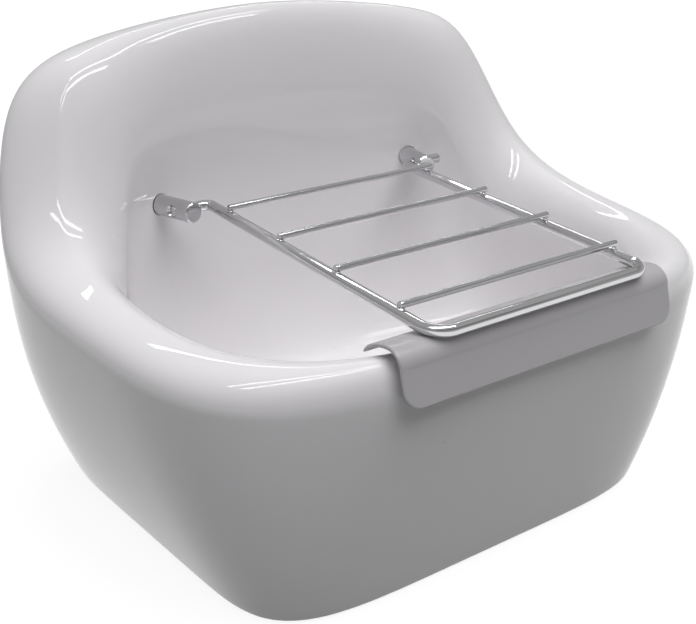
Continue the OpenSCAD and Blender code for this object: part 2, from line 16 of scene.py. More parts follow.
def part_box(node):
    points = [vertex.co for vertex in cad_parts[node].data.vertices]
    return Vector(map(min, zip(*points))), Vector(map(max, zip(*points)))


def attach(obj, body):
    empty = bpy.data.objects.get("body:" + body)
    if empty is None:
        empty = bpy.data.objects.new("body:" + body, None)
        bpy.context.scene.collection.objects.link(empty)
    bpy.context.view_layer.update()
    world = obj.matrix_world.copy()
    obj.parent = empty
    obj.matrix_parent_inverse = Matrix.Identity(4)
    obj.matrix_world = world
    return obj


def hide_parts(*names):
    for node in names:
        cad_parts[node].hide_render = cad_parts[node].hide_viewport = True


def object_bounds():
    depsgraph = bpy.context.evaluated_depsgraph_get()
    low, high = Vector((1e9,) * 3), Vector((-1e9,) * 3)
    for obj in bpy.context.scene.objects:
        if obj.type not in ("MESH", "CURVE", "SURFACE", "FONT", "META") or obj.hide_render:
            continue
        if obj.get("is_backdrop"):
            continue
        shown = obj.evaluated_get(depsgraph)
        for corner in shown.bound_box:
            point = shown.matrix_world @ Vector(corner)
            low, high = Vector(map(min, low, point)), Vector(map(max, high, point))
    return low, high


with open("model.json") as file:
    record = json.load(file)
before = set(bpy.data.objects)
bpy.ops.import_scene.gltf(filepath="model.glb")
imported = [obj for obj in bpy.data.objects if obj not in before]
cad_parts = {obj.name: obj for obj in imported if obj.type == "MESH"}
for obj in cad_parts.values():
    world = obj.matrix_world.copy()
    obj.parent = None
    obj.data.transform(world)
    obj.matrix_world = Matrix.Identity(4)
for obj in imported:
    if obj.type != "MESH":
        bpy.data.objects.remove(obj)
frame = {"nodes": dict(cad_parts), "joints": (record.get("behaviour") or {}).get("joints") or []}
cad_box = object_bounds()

nodes = frame["nodes"]
print("nodes:", len(nodes), "box:", [round(v, 4) for v in (*cad_box[0], *cad_box[1])])

# %% [markdown]
# A photograph fixes its own camera: where the edges of a known shape land on the picture gives
# the place, the direction and the focal length. Lengths in this file are millimetres until a
# mesh is made. Depths are measured from the wall towards the front, as a fitter would.

# %% Camera
MM = 0.001
WALL_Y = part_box("basin")[1].y / MM
PHOTO = (696, 624)
FOCAL_PX = 1155.3
CENTRE_PX = (345.4, 304.6)
CAMERA_AT = (-491.3, 813.1, 461.9)
CAMERA_TURN = -36.1
CAMERA_TILT = 21.6
CAMERA_ROLL = -0.555


def place(x, depth, z):
    """A point in metres, from its x, its distance from the wall and its height in millimetres."""
    return Vector((x * MM, (WALL_Y - depth) * MM, z * MM))


turn, tilt, roll = (math.radians(v) for v in (CAMERA_TURN, CAMERA_TILT, CAMERA_ROLL))
back = Vector((math.sin(turn) * math.cos(tilt), -math.cos(turn) * math.cos(tilt), math.sin(tilt)))
camera = bpy.data.objects.new("camera", bpy.data.cameras.new("camera"))
bpy.context.scene.collection.objects.link(camera)
camera.rotation_mode = "QUATERNION"
camera.rotation_quaternion = (-back).to_track_quat("-Z", "Y") @ Quaternion((0, 0, 1), roll)
camera.location = place(*CAMERA_AT)
camera.data.sensor_width = 36
camera.data.lens = camera.data.sensor_width * FOCAL_PX / PHOTO[0]
camera.data.shift_x = (PHOTO[0] / 2 - CENTRE_PX[0]) / PHOTO[0]
camera.data.shift_y = (CENTRE_PX[1] - PHOTO[1] / 2) / PHOTO[0]
camera.data.clip_start = 0.01
bpy.context.scene.camera = camera
bpy.context.scene.view_settings.view_transform = "Standard"
print("lens:", round(camera.data.lens, 1), "mm at", [round(v, 3) for v in camera.location])

# %% [markdown]
# Every new piece is a grid of points worked out as whole numpy arrays. One helper turns such a
# grid into a mesh: it joins neighbours with quads, closes the grid where it wraps, and merges
# what meets in a pole.

# %% From a grid of points to a mesh
SMOOTH_UNTIL = 35
SMOOTH_UNTIL_CUT = 38
MERGE_STEP = 0.001


def mesh_from_grid(name, points, wrap_u=False, wrap_v=False):
    """A mesh from an array of points, u rows by v columns, in millimetres. Rows or columns wrap
    if asked. Quads join each point to its neighbours. The faces are turned outwards by the
    sign of the volume, which is the sum over triangles of the triple product of their
    corners, over six."""
    u, v = points.shape[:2]
    index = np.arange(u * v).reshape(u, v)
    if wrap_u:
        index = np.vstack([index, index[:1]])
    if wrap_v:
        index = np.hstack([index, index[:, :1]])
    corners = [index[:-1, :-1], index[1:, :-1], index[1:, 1:], index[:-1, 1:]]
    quads = np.stack(corners, -1).reshape(-1, 4)
    flat = points.reshape(-1, 3)
    keys = np.round(flat / MERGE_STEP).astype(np.int64)
    _, first, same = np.unique(keys, axis=0, return_index=True, return_inverse=True)
    flat, quads = flat[first], same.reshape(-1)[quads]
    a, b, c, d = (flat[quads[:, i]] for i in range(4))
    triples = [np.einsum("ij,ij->i", a, np.cross(*edge)) for edge in ((b, c), (c, d))]
    volume = (triples[0] + triples[1]).sum() / 6
    if volume < 0:
        quads = quads[:, ::-1]
    same_next = quads == np.roll(quads, -1, axis=1)
    whole = quads[~same_next.any(axis=1)]
    part = quads[same_next.sum(axis=1) == 1]
    order = np.argsort(same_next[same_next.sum(axis=1) == 1], axis=1, kind="stable")[:, :3]
    order.sort(axis=1)
    triangles = np.take_along_axis(part, order, axis=1)
    mesh = bpy.data.meshes.new(name)
    mesh.from_pydata(flat * MM, [], whole.tolist() + triangles.tolist())
    mesh.validate()
    mesh.shade_smooth()
    mesh.set_sharp_from_angle(angle=math.radians(SMOOTH_UNTIL))
    piece = bpy.data.objects.new(name, mesh)
    bpy.context.scene.collection.objects.link(piece)
    print(name, "faces:", len(mesh.polygons), "volume:", round(abs(volume) / 1000, 1), "cm3")
    return piece


def spow(v, e):
    """Power that keeps the sign of its base."""
    return np.sign(v) * np.abs(v) ** e


def mix(a, b, k):
    """From a at k = 0 to b at k = 1."""
    return a + (b - a) * k


# %% [markdown]
# The basin is slip-cast in plaster moulds and glazed, so it has no flat panel and no sharp edge
# above the foot. Its plan is a squared ellipse, one that is softer at the rim than at the foot,
# and the section swells from foot to rim, rolls over, flares and falls into the bowl. Drawing
# it as one closed ring of sections, on rays from the middle of the bowl, gives each wall its
# real thickness.

# %% The basin's sizes
RIM_W, BASIN_D, RIM_TAPER = 486, 355, 30
FOOT_W, FOOT_D, FOOT_TAPER = 368, 312, 10
RIM_SQUARE = (3.2, 3.4)
FOOT_SQUARE = (5.3, 8)
WALL_FLAT = 8
FRONT_H, SPLASH_RISE, SPLASH_RUN, SPLASH_POWER = 186, 150, 57, 3.1
RIM_SLOPE, SPLASH_ARCH, ARCH_POWER = 0.04, 0.19, 1.8
SWELL_H, SWELL_POWER = 227, 1.7
ROLL_H, ROLL_FRONT, ROLL_SIDE, ROLL_BACK = 26, 11, 33, 42
FLARE_FRONT, FLARE_BACK = 24, 85
WALL_FRONT, WALL_SIDE, WALL_BACK = 35, 63, 58
BOWL_SQUARE = (2.7, 3.2)
FLOOR_Z, FLOOR_FALL, BOWL_FILLET, FILLET_POWER = 60, 5, 42, 3
CHINA_T, FLOOR_T, FOOT_T, FOOT_ROUND, ARCH_H = 9, 12, 13, 4, 5
WASTE_HOLE_R, RECESS_R, RECESS_DEPTH, WASTE_FLAT, UNDER_FLAT = 23, 38, 3.5, 44, 40
RECESS_EASE, RECESS_EASE_MIDDLE, ABOVE_MOUTH, ARCH_MIDDLE = 1.2, 0.35, 2, 0.6
RAYS, EDGE_RAY = 336, 144
RAY_SQUARE, RAY_WIDTH = 0.8, 1.4
FOOT_STEPS, SIDE_STEPS, ROLL_STEPS, FLARE_STEPS = 6, 40, 26, 34
BOWL_STEPS, UNDER_STEPS, UNDER_FLARE_STEPS, INSIDE_STEPS = 44, 16, 6, 12
BOWL_FRONT = BASIN_D - WALL_FRONT
BOWL_C = (WALL_BACK + BOWL_FRONT) / 2
print("bowl centre", BOWL_C, "mm from the wall")

# %% [markdown]
# Seen from above, each height of the casting has its own outline. A ray from the middle of the
# bowl meets every outline once, so one array of angles places them all. The back of the skin is
# cut off flat at the wall, and the same ray follows that edge from the foot to the rim, which
# keeps the shading smooth there.

# %% Plan outlines
def ray_angles():
    """Angles from the front, one a ray, bunched towards the corners: the directions of points
    spaced evenly round a squared ellipse of exponent 2 / RAY_SQUARE that is RAY_WIDTH times
    as wide as it is deep."""
    t = np.linspace(0, 2 * np.pi, RAYS, endpoint=False)
    return np.arctan2(RAY_WIDTH * spow(np.sin(t), RAY_SQUARE), spow(np.cos(t), RAY_SQUARE))[:, None]


def reach(a, w, f, b, nf, nb):
    """Distance along a ray to a squared ellipse: one over the n-th root of the sum of the n-th
    powers of sine over half-width and cosine over the front or back extent."""
    n = np.where(np.cos(a) > 0, nf, nb)
    extent = np.where(np.cos(a) > 0, f, b)
    return ((np.abs(np.sin(a)) / w) ** n + (np.abs(np.cos(a)) / extent) ** n) ** (-1 / n)


def plan(a, r, lean):
    """Plan point (x, depth) at distance r on a ray; lean narrows the outline towards the front."""
    depth = BOWL_C + r * np.cos(a)
    return np.stack(np.broadcast_arrays(-r * np.sin(a) * (1 - lean * (depth - BOWL_C)), depth), -1)


A = ray_angles()
EDGE_ANGLE = float(A[EDGE_RAY, 0])


def warp(a, edge):
    """Moves the rays so that the one with index EDGE_RAY lies at an angle of edge from the
    back, where the outline meets the wall. Angles on either side of it scale in proportion."""
    size = np.abs(a)
    ahead = size * (np.pi - edge) / EDGE_ANGLE
    behind = np.pi - (np.pi - size) * edge / (np.pi - EDGE_ANGLE)
    return np.where(a < 0, -1, 1) * np.where(size < EDGE_ANGLE, ahead, behind)


def swell(z):
    """How far the skirt has swollen at height z: one minus a power of what is left to the top."""
    return 1 - (1 - np.clip(z / SWELL_H, 0, 1)) ** SWELL_POWER


def skin(a, z, roll=0.0, inset=0.0):
    """Plan points of the outer skin at height z, moved in over the rim by roll (0 to 1) and all
    round by inset. The back is cut off flat at the wall: the edge lies where the squared
    ellipse crosses it, at the arc tangent of half the width there over the wall's distance."""
    k = swell(z)
    w = mix(FOOT_W, RIM_W, k) / 2 - roll * ROLL_SIDE - inset
    f = mix(FOOT_D, BASIN_D, k) - roll * ROLL_FRONT - inset - BOWL_C
    b = BOWL_C + WALL_FLAT - roll * ROLL_BACK
    nb = mix(FOOT_SQUARE[1], RIM_SQUARE[1], k)
    share = (1 - (BOWL_C / (BOWL_C + WALL_FLAT)) ** nb) ** (1 / nb)
    at_wall = np.arctan((w + roll * ROLL_SIDE) * share / BOWL_C)
    c = warp(a, mix(at_wall, np.pi - EDGE_ANGLE, roll))
    lean = mix(FOOT_TAPER / FOOT_W, RIM_TAPER / RIM_W, k) * 2 / BASIN_D
    p = plan(c, reach(c, w, f, b, mix(FOOT_SQUARE[0], RIM_SQUARE[0], k), nb), lean)
    floor = inset if inset >= CHINA_T else 0
    return np.stack([p[..., 0], np.maximum(p[..., 1], floor)], -1)


def rim_z(p):
    """Height of the crest over a plan point: the front height, a steady slope, and the splash
    back, which falls with depth like 1 / (1 + (depth/run)^power) and drops a little towards
    its ends."""
    depth = np.maximum(p[..., 1], 0)
    fall = SPLASH_RISE / (1 + (depth / SPLASH_RUN) ** SPLASH_POWER)
    arch = 1 - SPLASH_ARCH * np.abs(p[..., 0] / (RIM_W / 2)) ** ARCH_POWER
    return FRONT_H + RIM_SLOPE * (BASIN_D - depth) + fall * arch


def bowl_plan(a, grow, scale):
    """Plan points of the bowl's outline, scaled about its centre and grown outwards."""
    w, f, b = RIM_W / 2 - WALL_SIDE, BOWL_FRONT - BOWL_C, BOWL_C - WALL_BACK
    return plan(a, reach(a, w * scale + grow, f * scale + grow, b * scale + grow, *BOWL_SQUARE), 0)


CREST_Z = rim_z(skin(A, SWELL_H))
FLARE = mix(FLARE_FRONT, FLARE_BACK, (1 - np.cos(A)) / 2)
MOUTH_Z = CREST_Z - FLARE
print("crest from", round(float(CREST_Z.min()), 1), "to", round(float(CREST_Z.max()), 1), "mm")

# %% [markdown]
# A caster thinks of the section in stretches: the foot's edge, the skirt, the roll over the
# rim, the flare, the bowl and then the hidden inside. Each stretch is one array over all the
# rays, and end to end they close into a loop, which makes the casting a solid with real walls.

# %% One closed section on every ray
def stretch(n, first=False):
    """A quarter turn in n steps, as a row; the first point is left out unless asked for."""
    q = np.linspace(0, np.pi / 2, n + 1)
    return (q if first else q[1:])[None, :]


def column(p, z):
    """Points from plan points and heights, broadcast to one shape."""
    z = np.broadcast_to(z, p.shape[:2])
    return np.stack([p[..., 0], WALL_Y - p[..., 1], z], -1)


def bowl_scale(q):
    """The bowl's outline grows from floor to wall as a power of the sine."""
    least = BOWL_FRONT - BOWL_C
    return mix(1 - BOWL_FILLET / least, 1, np.sin(q) ** (2 / FILLET_POWER))


def bowl_z(q):
    """The bowl's wall rises as one minus a power of the cosine, up to the mouth."""
    return mix(FLOOR_Z + FLOOR_FALL, MOUTH_Z, 1 - np.cos(q) ** (2 / FILLET_POWER))


def circle(r):
    """The same circle on every ray."""
    return plan(A, r * np.ones_like(A), 0)


def flare_at(q, out=0):
    """The flare turns from level at the crest, at q = 0, to upright at the mouth, at 90
    degrees, as a quarter ellipse on each ray. Its underside is moved out along the ray."""
    ray = np.concatenate([-np.sin(A), np.cos(A)], 1)[:, None, :]
    p = mix(skin(A, CREST_Z, 1.0), bowl_plan(A, 0, 1), np.sin(q)[..., None])
    return column(p + out * ray, CREST_Z - FLARE * (1 - np.cos(q)))


def outer_stretches():
    """Foot edge, skirt, roll over the rim and flare, down to the bowl's mouth."""
    q = stretch(FOOT_STEPS, True)[:, :-1]
    z = FOOT_ROUND * (1 - np.cos(q))
    foot = column(np.concatenate([skin(A, zi, 0, FOOT_ROUND * (1 - math.sin(qi))) for zi, qi in
                                  zip(z[0], q[0])], 1), z)
    z = mix(FOOT_ROUND, CREST_Z - ROLL_H, np.linspace(0, 1, SIDE_STEPS)[None, :])
    side = column(skin(A, z), z)
    q = stretch(ROLL_STEPS)
    z = CREST_Z - ROLL_H * (1 - np.sin(q))
    over = column(skin(A, z, 1 - np.cos(q)), z)
    return foot, side, over, flare_at(stretch(FLARE_STEPS))


def inner_stretches():
    """Bowl wall, floor, recess and waste hole, then the underside and the inside of the skirt."""
    q = np.pi / 2 - stretch(BOWL_STEPS)
    wall = column(bowl_plan(A, 0, bowl_scale(q)), bowl_z(q))
    steps = [(WASTE_FLAT, 0), (RECESS_R + RECESS_EASE, 0),
             (RECESS_R + RECESS_EASE_MIDDLE, RECESS_EASE_MIDDLE), (RECESS_R, RECESS_EASE),
             (RECESS_R, RECESS_DEPTH), (WASTE_HOLE_R, RECESS_DEPTH), (WASTE_HOLE_R, FLOOR_T),
             (UNDER_FLAT, FLOOR_T)]
    waste = np.concatenate([column(circle(r), FLOOR_Z - drop) for r, drop in steps], 1)
    q = stretch(UNDER_STEPS, True)
    under = column(bowl_plan(A, CHINA_T * np.sin(q), bowl_scale(q)),
                   bowl_z(q) - mix(FLOOR_T, CHINA_T, np.sin(q)) * np.cos(q))
    top = CREST_Z - ROLL_H - CHINA_T / 2 - ARCH_H
    q = np.arccos(1 - np.minimum(CREST_Z - top, FLARE - ABOVE_MOUTH) / FLARE)
    up = mix(np.pi / 2, q, np.linspace(0, 1, UNDER_FLARE_STEPS + 1)[None, 1:])
    under_flare, corner = flare_at(up, CHINA_T), column(skin(A, top, 0, CHINA_T), top)
    middle = mix(under_flare[:, -1:], corner, 0.5) + np.array([0, 0, ARCH_H * ARCH_MIDDLE])
    ceiling = np.concatenate([under_flare, middle, corner], 1)
    z = top * np.linspace(1, 0, INSIDE_STEPS + 1)[None, 1:]
    inside = column(skin(A, z, 0, CHINA_T), z)
    inside[:, -1:] = column(skin(A, 0 * A, 0, FOOT_T), 0)
    return wall, waste, under, ceiling, inside


section = np.concatenate(outer_stretches() + inner_stretches(), 1)
casting = mesh_from_grid("china_basin", section, wrap_u=True, wrap_v=True)
print("section points:", section.shape[1], "on", RAYS, "rays")

# %% [markdown]
# The china is drilled and spot-faced before firing: two holes with flat seats for the hinge
# posts and two for the wall bolts. Turned cutters taken away with a Boolean leave the same
# clean edges.

# %% Turning and cutting
HINGE_X, POST_TURN, POST_D, POST_REACH, POST_NOSE, GASKET_T = 112, 14, 15.5, 22.8, 14, 1
SEAT_D, SEAT_CUT_H, STUD_HOLE_D, STUD_HOLE_ENDS = 16.6, 12, 9.6, (-50, 20)
REAR_FACE, WASHER_CUT_D, WASHER_CUT_H = 6.8, 28, 14
WALL_BOLT_D, WALL_BOLT_X, WALL_BOLT_Z, WALL_BOLT_DEPTH = 14, 100, 110, 28
OVERSHOOT, TURNED_SIDES = 1, 96
HINGE_Y, HINGE_Z = (v / MM for v in frame["joints"][0]["pos_m"][1:])


def turned(name, profile, origin, axis):
    """A body of revolution: profile points (radius, distance) swept through a full turn about
    the axis from the origin."""
    axis = Vector(axis).normalized()
    side = axis.orthogonal().normalized()
    other = axis.cross(side)
    r, h = np.array(profile, float).T[:, :, None, None]
    t = np.linspace(0, 2 * np.pi, TURNED_SIDES, endpoint=False)[None, :, None]
    ring = np.cos(t) * np.array(side) + np.sin(t) * np.array(other)
    points = np.array(origin, float) + h * np.array(axis) + r * ring
    return mesh_from_grid(name, points, wrap_v=True)


def drill(diameter, origin, axis, start, end):
    """A plain cylinder to cut with."""
    r = diameter / 2
    return turned("cutter", [(0, start), (r, start), (r, end), (0, end)], origin, axis)


def cut(piece, cutters):
    """Takes each cutter away from the piece and leaves one finished mesh."""
    for cutter in cutters:
        step = piece.modifiers.new("cut", "BOOLEAN")
        step.object, step.operation, step.solver = cutter, "DIFFERENCE", "MANIFOLD"
    graph = bpy.context.evaluated_depsgraph_get()
    finished = bpy.data.meshes.new_from_object(piece.evaluated_get(graph))
    piece.modifiers.clear()
    piece.data = finished
    for cutter in cutters:
        bpy.data.objects.remove(cutter)
    finished.shade_smooth()
    finished.set_sharp_from_angle(angle=math.radians(SMOOTH_UNTIL_CUT))
    print(piece.name, "after cutting:", len(finished.polygons), "faces")


def finish_piece(piece, body, slot, *cad):
    """Stands a piece in for its CAD nodes, on its body. The record's material slot is not used."""
    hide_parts(*cad)
    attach(piece, body)


def post_axis(side):
    """Direction from the bowl's wall out along a post; side is -1 for left and 1 for right."""
    lean = math.radians(POST_TURN)
    return (-side * math.sin(lean), -math.cos(lean), 0)


def on_post(side, out):
    """A point on a post's axis, out millimetres past the hinge line."""
    x, y, _ = post_axis(side)
    return [side * HINGE_X + out * x, HINGE_Y + out * y, HINGE_Z]


cutters = []
for side in (-1, 1):
    seat, out = on_post(side, -POST_REACH - GASKET_T), post_axis(side)
    cutters.append(drill(STUD_HOLE_D, seat, out, *STUD_HOLE_ENDS))
    cutters.append(drill(SEAT_D, seat, out, 0, SEAT_CUT_H))
    cutters.append(drill(WASHER_CUT_D, seat, out, -REAR_FACE - WASHER_CUT_H, -REAR_FACE))
    bolt = [side * WALL_BOLT_X, WALL_Y, WALL_BOLT_Z]
    cutters.append(drill(WALL_BOLT_D, bolt, (0, -1, 0), -OVERSHOOT, WALL_BOLT_DEPTH))
cut(casting, cutters)
finish_piece(casting, "sink", "china", "basin")
print("hinge line at", round(HINGE_Y, 2), round(HINGE_Z, 2))

# %% [markdown]
# The grating is one bent rod with its ends turned outwards as hinge pins, and four thinner
# wires that are laid across and resistance welded, which squeezes a small bead out of each
# crossing. A circle carried along a path of straights and bends makes rod and wire alike.

# %% The grating's sizes
ROD_R, WIRE_R, GRATE_W, GRATE_SHIFT = 4, 2.5, 185, 4
PIN_BEND, CORNER_BEND, PIN_STRAIGHT = 6, 15, 3
PIN_PAST = (-1, 12)
ROD_TIP, WIRE_TIP, ROD_SIDES, WIRE_SIDES, WIRE_STATIONS = 0.6, 0.5, 48, 32, 60
WIRES, WIRE_FIRST, WIRE_LAST, WIRE_LEFT, WIRE_RIGHT, WELD_SINK = 4, 29, 33, 1, 3.5, 0.4
BEAD_SIZE, BEAD_SINK = (2.7, 3.0, 0.9), 0.1
BEND_POINTS, TIP_STEPS, BEAD_ROWS, BEAD_COLUMNS = 18, 5, 15, 28
SADDLE_W, SADDLE_T, SADDLE_RISE, SADDLE_CROWN_IN = 232, 2.8, 6.5, 17
REST_GAP, FRONT_ROD_IN = 0.2, 2
HINGE_D = WALL_Y - HINGE_Y
CROWN_D = BASIN_D - SADDLE_CROWN_IN
CROWN_Z = float(rim_z(np.array([0, CROWN_D]))) + SADDLE_RISE + SADDLE_T
REST_Z = CROWN_Z + ROD_R + REST_GAP
FALL = math.atan2(HINGE_Z - REST_Z, CROWN_D - HINGE_D)
GRATE_L = (BASIN_D - FRONT_ROD_IN - ROD_R - HINGE_D) / math.cos(FALL)
WIRE_PITCH = (GRATE_L - WIRE_FIRST - WIRE_LAST) / (WIRES - 1)
print("grating", round(GRATE_L, 1), "mm long, sloping", round(math.degrees(FALL), 2), "degrees")

# %% [markdown]
# A bender works a rod flat on a table, so the grating is drawn flat and then laid on its slope
# by one turn about the hinge line. Cut ends are filed round, and a circle that shrinks towards
# each end of the path gives them that edge.

# %% A rod along a path
def on_hinge(points):
    """Points of the flat grating (x, y towards the wall, z up from the hinge line), laid down
    on its slope by a turn about the hinge line."""
    x, y, z = np.moveaxis(np.asarray(points, float), -1, 0)
    return np.stack([x + GRATE_SHIFT, HINGE_Y + y * math.cos(FALL) - z * math.sin(FALL),
                     HINGE_Z + y * math.sin(FALL) + z * math.cos(FALL)], -1)


def bend(cx, cy, r, start, end):
    """Points of a flat arc of radius r, from the start angle to the end angle in degrees."""
    t = np.radians(np.linspace(start, end, BEND_POINTS))
    return np.stack([cx + r * np.cos(t), cy + r * np.sin(t), 0 * t], -1)


def rod_grid(path, radius, tip, sides):
    """Grid of a round rod along a path in the plane z = const: a circle across the path at each
    station. Each end is rounded over by a quarter circle, where the distance is one minus
    the cosine and the radius grows as the sine, and is closed by a flat disc with a pole."""
    path = np.asarray(path, float)
    along = np.gradient(path, axis=0)
    along /= np.linalg.norm(along, axis=1)[:, None]
    q = stretch(TIP_STEPS, True)[0]
    out, rounded = tip * (1 - np.cos(q))[:, None], radius - tip * (1 - np.sin(q))
    head, tail = path[0] + out * along[0], (path[-1] - out * along[-1])[::-1]
    centres = np.concatenate([path[:1], head, path[1:-1], tail, path[-1:]])
    r = np.concatenate([[0], rounded, np.full(len(path) - 2, radius), rounded[::-1], [0]])
    ends = len(q) + 1
    along = np.concatenate([along[[0] * ends], along[1:-1], along[[-1] * ends]])
    side = np.stack([along[:, 1], -along[:, 0], 0 * along[:, 0]], -1)[:, None, :]
    t, r = np.linspace(0, 2 * np.pi, sides, endpoint=False)[None, :, None], r[:, None, None]
    return centres[:, None, :] + r * (np.cos(t) * side + np.sin(t) * np.array([0, 0, 1]))


half = GRATE_W / 2
past_post = POST_D / 2 / math.cos(math.radians(POST_TURN))
tip_left = -(HINGE_X + GRATE_SHIFT + past_post + PIN_PAST[0])
tip_right = HINGE_X - GRATE_SHIFT + past_post + PIN_PAST[1]
route = np.vstack([
    [[tip_left, 0, 0], [tip_left + PIN_STRAIGHT, 0, 0]],
    bend(-half - PIN_BEND, -PIN_BEND, PIN_BEND, 90, 0),
    bend(-half + CORNER_BEND, CORNER_BEND - GRATE_L, CORNER_BEND, 180, 270),
    bend(half - CORNER_BEND, CORNER_BEND - GRATE_L, CORNER_BEND, -90, 0),
    bend(half + PIN_BEND, -PIN_BEND, PIN_BEND, 180, 90),
    [[tip_right - PIN_STRAIGHT, 0, 0], [tip_right, 0, 0]]])
rod_points = on_hinge(rod_grid(route, ROD_R, ROD_TIP, ROD_SIDES))
grate_rod = mesh_from_grid("grate_rod", rod_points, wrap_v=True)
finish_piece(grate_rod, "grating", "chrome", "grate_frame")
chromed = [grate_rod]

# %% [markdown]
# Where two rods are pressed together and welded, a little metal squeezes out on both sides of
# the joint. A flattened, slightly lumpy ball at each crossing shows it, and it is joined to its
# wire.

# %% Wires and weld beads
def join_grids(name, grids):
    """One piece from several closed grids."""
    pieces = [mesh_from_grid(name, g, wrap_v=True) for g in grids]
    with bpy.context.temp_override(active_object=pieces[0], selected_editable_objects=pieces):
        bpy.ops.object.join()
    return pieces[0]


def bead_grid(x, y, z, size, seed):
    """A weld bead: an ellipsoid whose radius swells and sinks a little, like a sum of two slow
    waves round it."""
    u = np.linspace(0, np.pi, BEAD_ROWS)[:, None]
    v = np.linspace(0, 2 * np.pi, BEAD_COLUMNS, endpoint=False)[None, :]
    waves = 0.07 * np.sin(3 * v + seed), 0.05 * np.sin(2 * u + 5 * v + 2 * seed)
    swelling = 1 + waves[0] * np.sin(u) + waves[1] * np.sin(u)
    parts = [np.cos(u) + 0 * v, np.sin(u) * np.cos(v), np.sin(u) * np.sin(v)]
    return np.stack([c + s * swelling * p for c, s, p in zip((x, y, z), size, parts)], -1)


wire_z = ROD_R + WIRE_R - WELD_SINK
for number in range(1, WIRES + 1):
    y = -(WIRE_FIRST + (number - 1) * WIRE_PITCH)
    x = np.linspace(-half - WIRE_LEFT, half + WIRE_RIGHT, WIRE_STATIONS)
    wire = rod_grid(np.stack([x, 0 * x + y, 0 * x + wire_z], -1), WIRE_R, WIRE_TIP, WIRE_SIDES)
    beads = [bead_grid(side * half, y, ROD_R - BEAD_SINK, BEAD_SIZE, number + side)
             for side in (-1, 1)]
    piece = join_grids(f"cross_wire_{number}", [on_hinge(g) for g in [wire, *beads]])
    finish_piece(piece, "grating", "chrome", f"grate_wire_{number}")
    chromed.append(piece)

# %% [markdown]
# The saddle is a thin strip of white plastic, moulded as a hook over the rim so that a bucket
# does not chip the china. Its section is two rounded arcs and a splayed leg. A sheet with its
# edges rounded over on all four sides is a middle surface with a thickness that falls off like
# a circle.

# %% Rim saddle
SADDLE_INNER, SADDLE_INNER_DROP, SADDLE_DROP, SADDLE_SHOULDER, SADDLE_SPLAY = 23, 11, 36, 12, 6
SADDLE_GAP, SADDLE_CORNER, SADDLE_ARC = 0.3, 12, 1.2
ARC_POINTS, EDGE_POINTS, STATIONS, EDGE = 25, 9, 90, SADDLE_T / 2
ROLL_DONE, ROLL_DOWN = 0.06, 0.65
FACE_D = float(mix(FOOT_D, BASIN_D, swell(FRONT_H))) - ROLL_DONE * ROLL_FRONT
SPLAY_RUN = SADDLE_RISE + SADDLE_T + ROLL_DOWN * ROLL_H - SADDLE_SHOULDER
SPLAYED = SADDLE_SPLAY * SPLAY_RUN / (SADDLE_DROP - SADDLE_SHOULDER)
SHOULDER_D = FACE_D + SADDLE_GAP + SADDLE_T - SPLAYED


def saddle_line(off):
    """The saddle's section as points (depth, height), off millimetres in from the outer face:
    an inner arc, a front arc and a straight splayed leg."""
    q = np.radians(np.linspace(0, 90, ARC_POINTS))
    rise = (SADDLE_INNER_DROP - off) * spow(np.sin(q), SADDLE_ARC)
    inner = np.stack([CROWN_D - (SADDLE_INNER - off) * spow(np.cos(q), SADDLE_ARC),
                      CROWN_Z - SADDLE_INNER_DROP + rise], -1)
    q = q[1:]
    front = np.stack([CROWN_D + (SHOULDER_D - CROWN_D - off) * np.sin(q),
                      CROWN_Z - SADDLE_SHOULDER + (SADDLE_SHOULDER - off) * np.cos(q)], -1)
    leg = mix(front[-1], np.array([SHOULDER_D + SADDLE_SPLAY - off, CROWN_Z - SADDLE_DROP]),
              np.linspace(0, 1, ARC_POINTS)[1:, None])
    return np.concatenate([inner, front, leg])


def spread(low, high):
    """Stations from low to high, evenly spaced, but bunched by a cosine where the edge is
    rounded."""
    near = EDGE * (1 - np.cos(np.linspace(0, np.pi / 2, EDGE_POINTS)))
    evenly = np.linspace(low + EDGE, high - EDGE, STATIONS)[1:-1]
    return np.concatenate([low + near, evenly, high - near[::-1]])


both = np.hstack([saddle_line(0), saddle_line(SADDLE_T)])
run = np.concatenate([[0], np.cumsum(np.linalg.norm(np.diff(both, axis=0), axis=1) / math.sqrt(2))])
x = spread(-SADDLE_W / 2, SADDLE_W / 2)[:, None]
over = np.clip(np.abs(x) - SADDLE_W / 2 + SADDLE_CORNER, 0, None)
end = run[-1] - SADDLE_CORNER + np.sqrt(SADDLE_CORNER ** 2 - over ** 2)
s = spread(0, run[-1])[None, :] * end / run[-1]
past = np.clip(s - run[-1] + SADDLE_CORNER, 0, None)
in_corner = (over > 0) & (past > 0)
side_gap = np.where(in_corner, SADDLE_CORNER - np.hypot(over, past), SADDLE_W / 2 - np.abs(x))
to_edge = np.minimum(np.minimum(side_gap, s), np.maximum(end - s, 0))
fullness = np.sqrt(1 - (1 - np.clip(to_edge / EDGE, 0, 1)) ** 2)[..., None]
lines = [np.interp(s, run, both[:, i]) for i in range(4)]
outer, inner = np.stack(lines[:2], -1), np.stack(lines[2:], -1)
middle, offset = (outer + inner) / 2, (outer - inner) / 2
loop = np.concatenate([middle + fullness * offset, (middle - fullness * offset)[:, ::-1]], 1)
grid = np.stack([x + 0 * loop[..., 0], WALL_Y - loop[..., 0], loop[..., 1]], -1)
saddle = mesh_from_grid("rim_saddle", grid, wrap_v=True)
finish_piece(saddle, "sink", "saddle_plastic", "rim_saddle")
print("saddle crown at", round(CROWN_Z, 1), "mm")

# %% [markdown]
# A hinge post is a length of bright bar, turned with a small chamfer on its nose, drilled
# across for the pin and countersunk a little at both mouths. It is lathed here from a profile,
# and drilled.

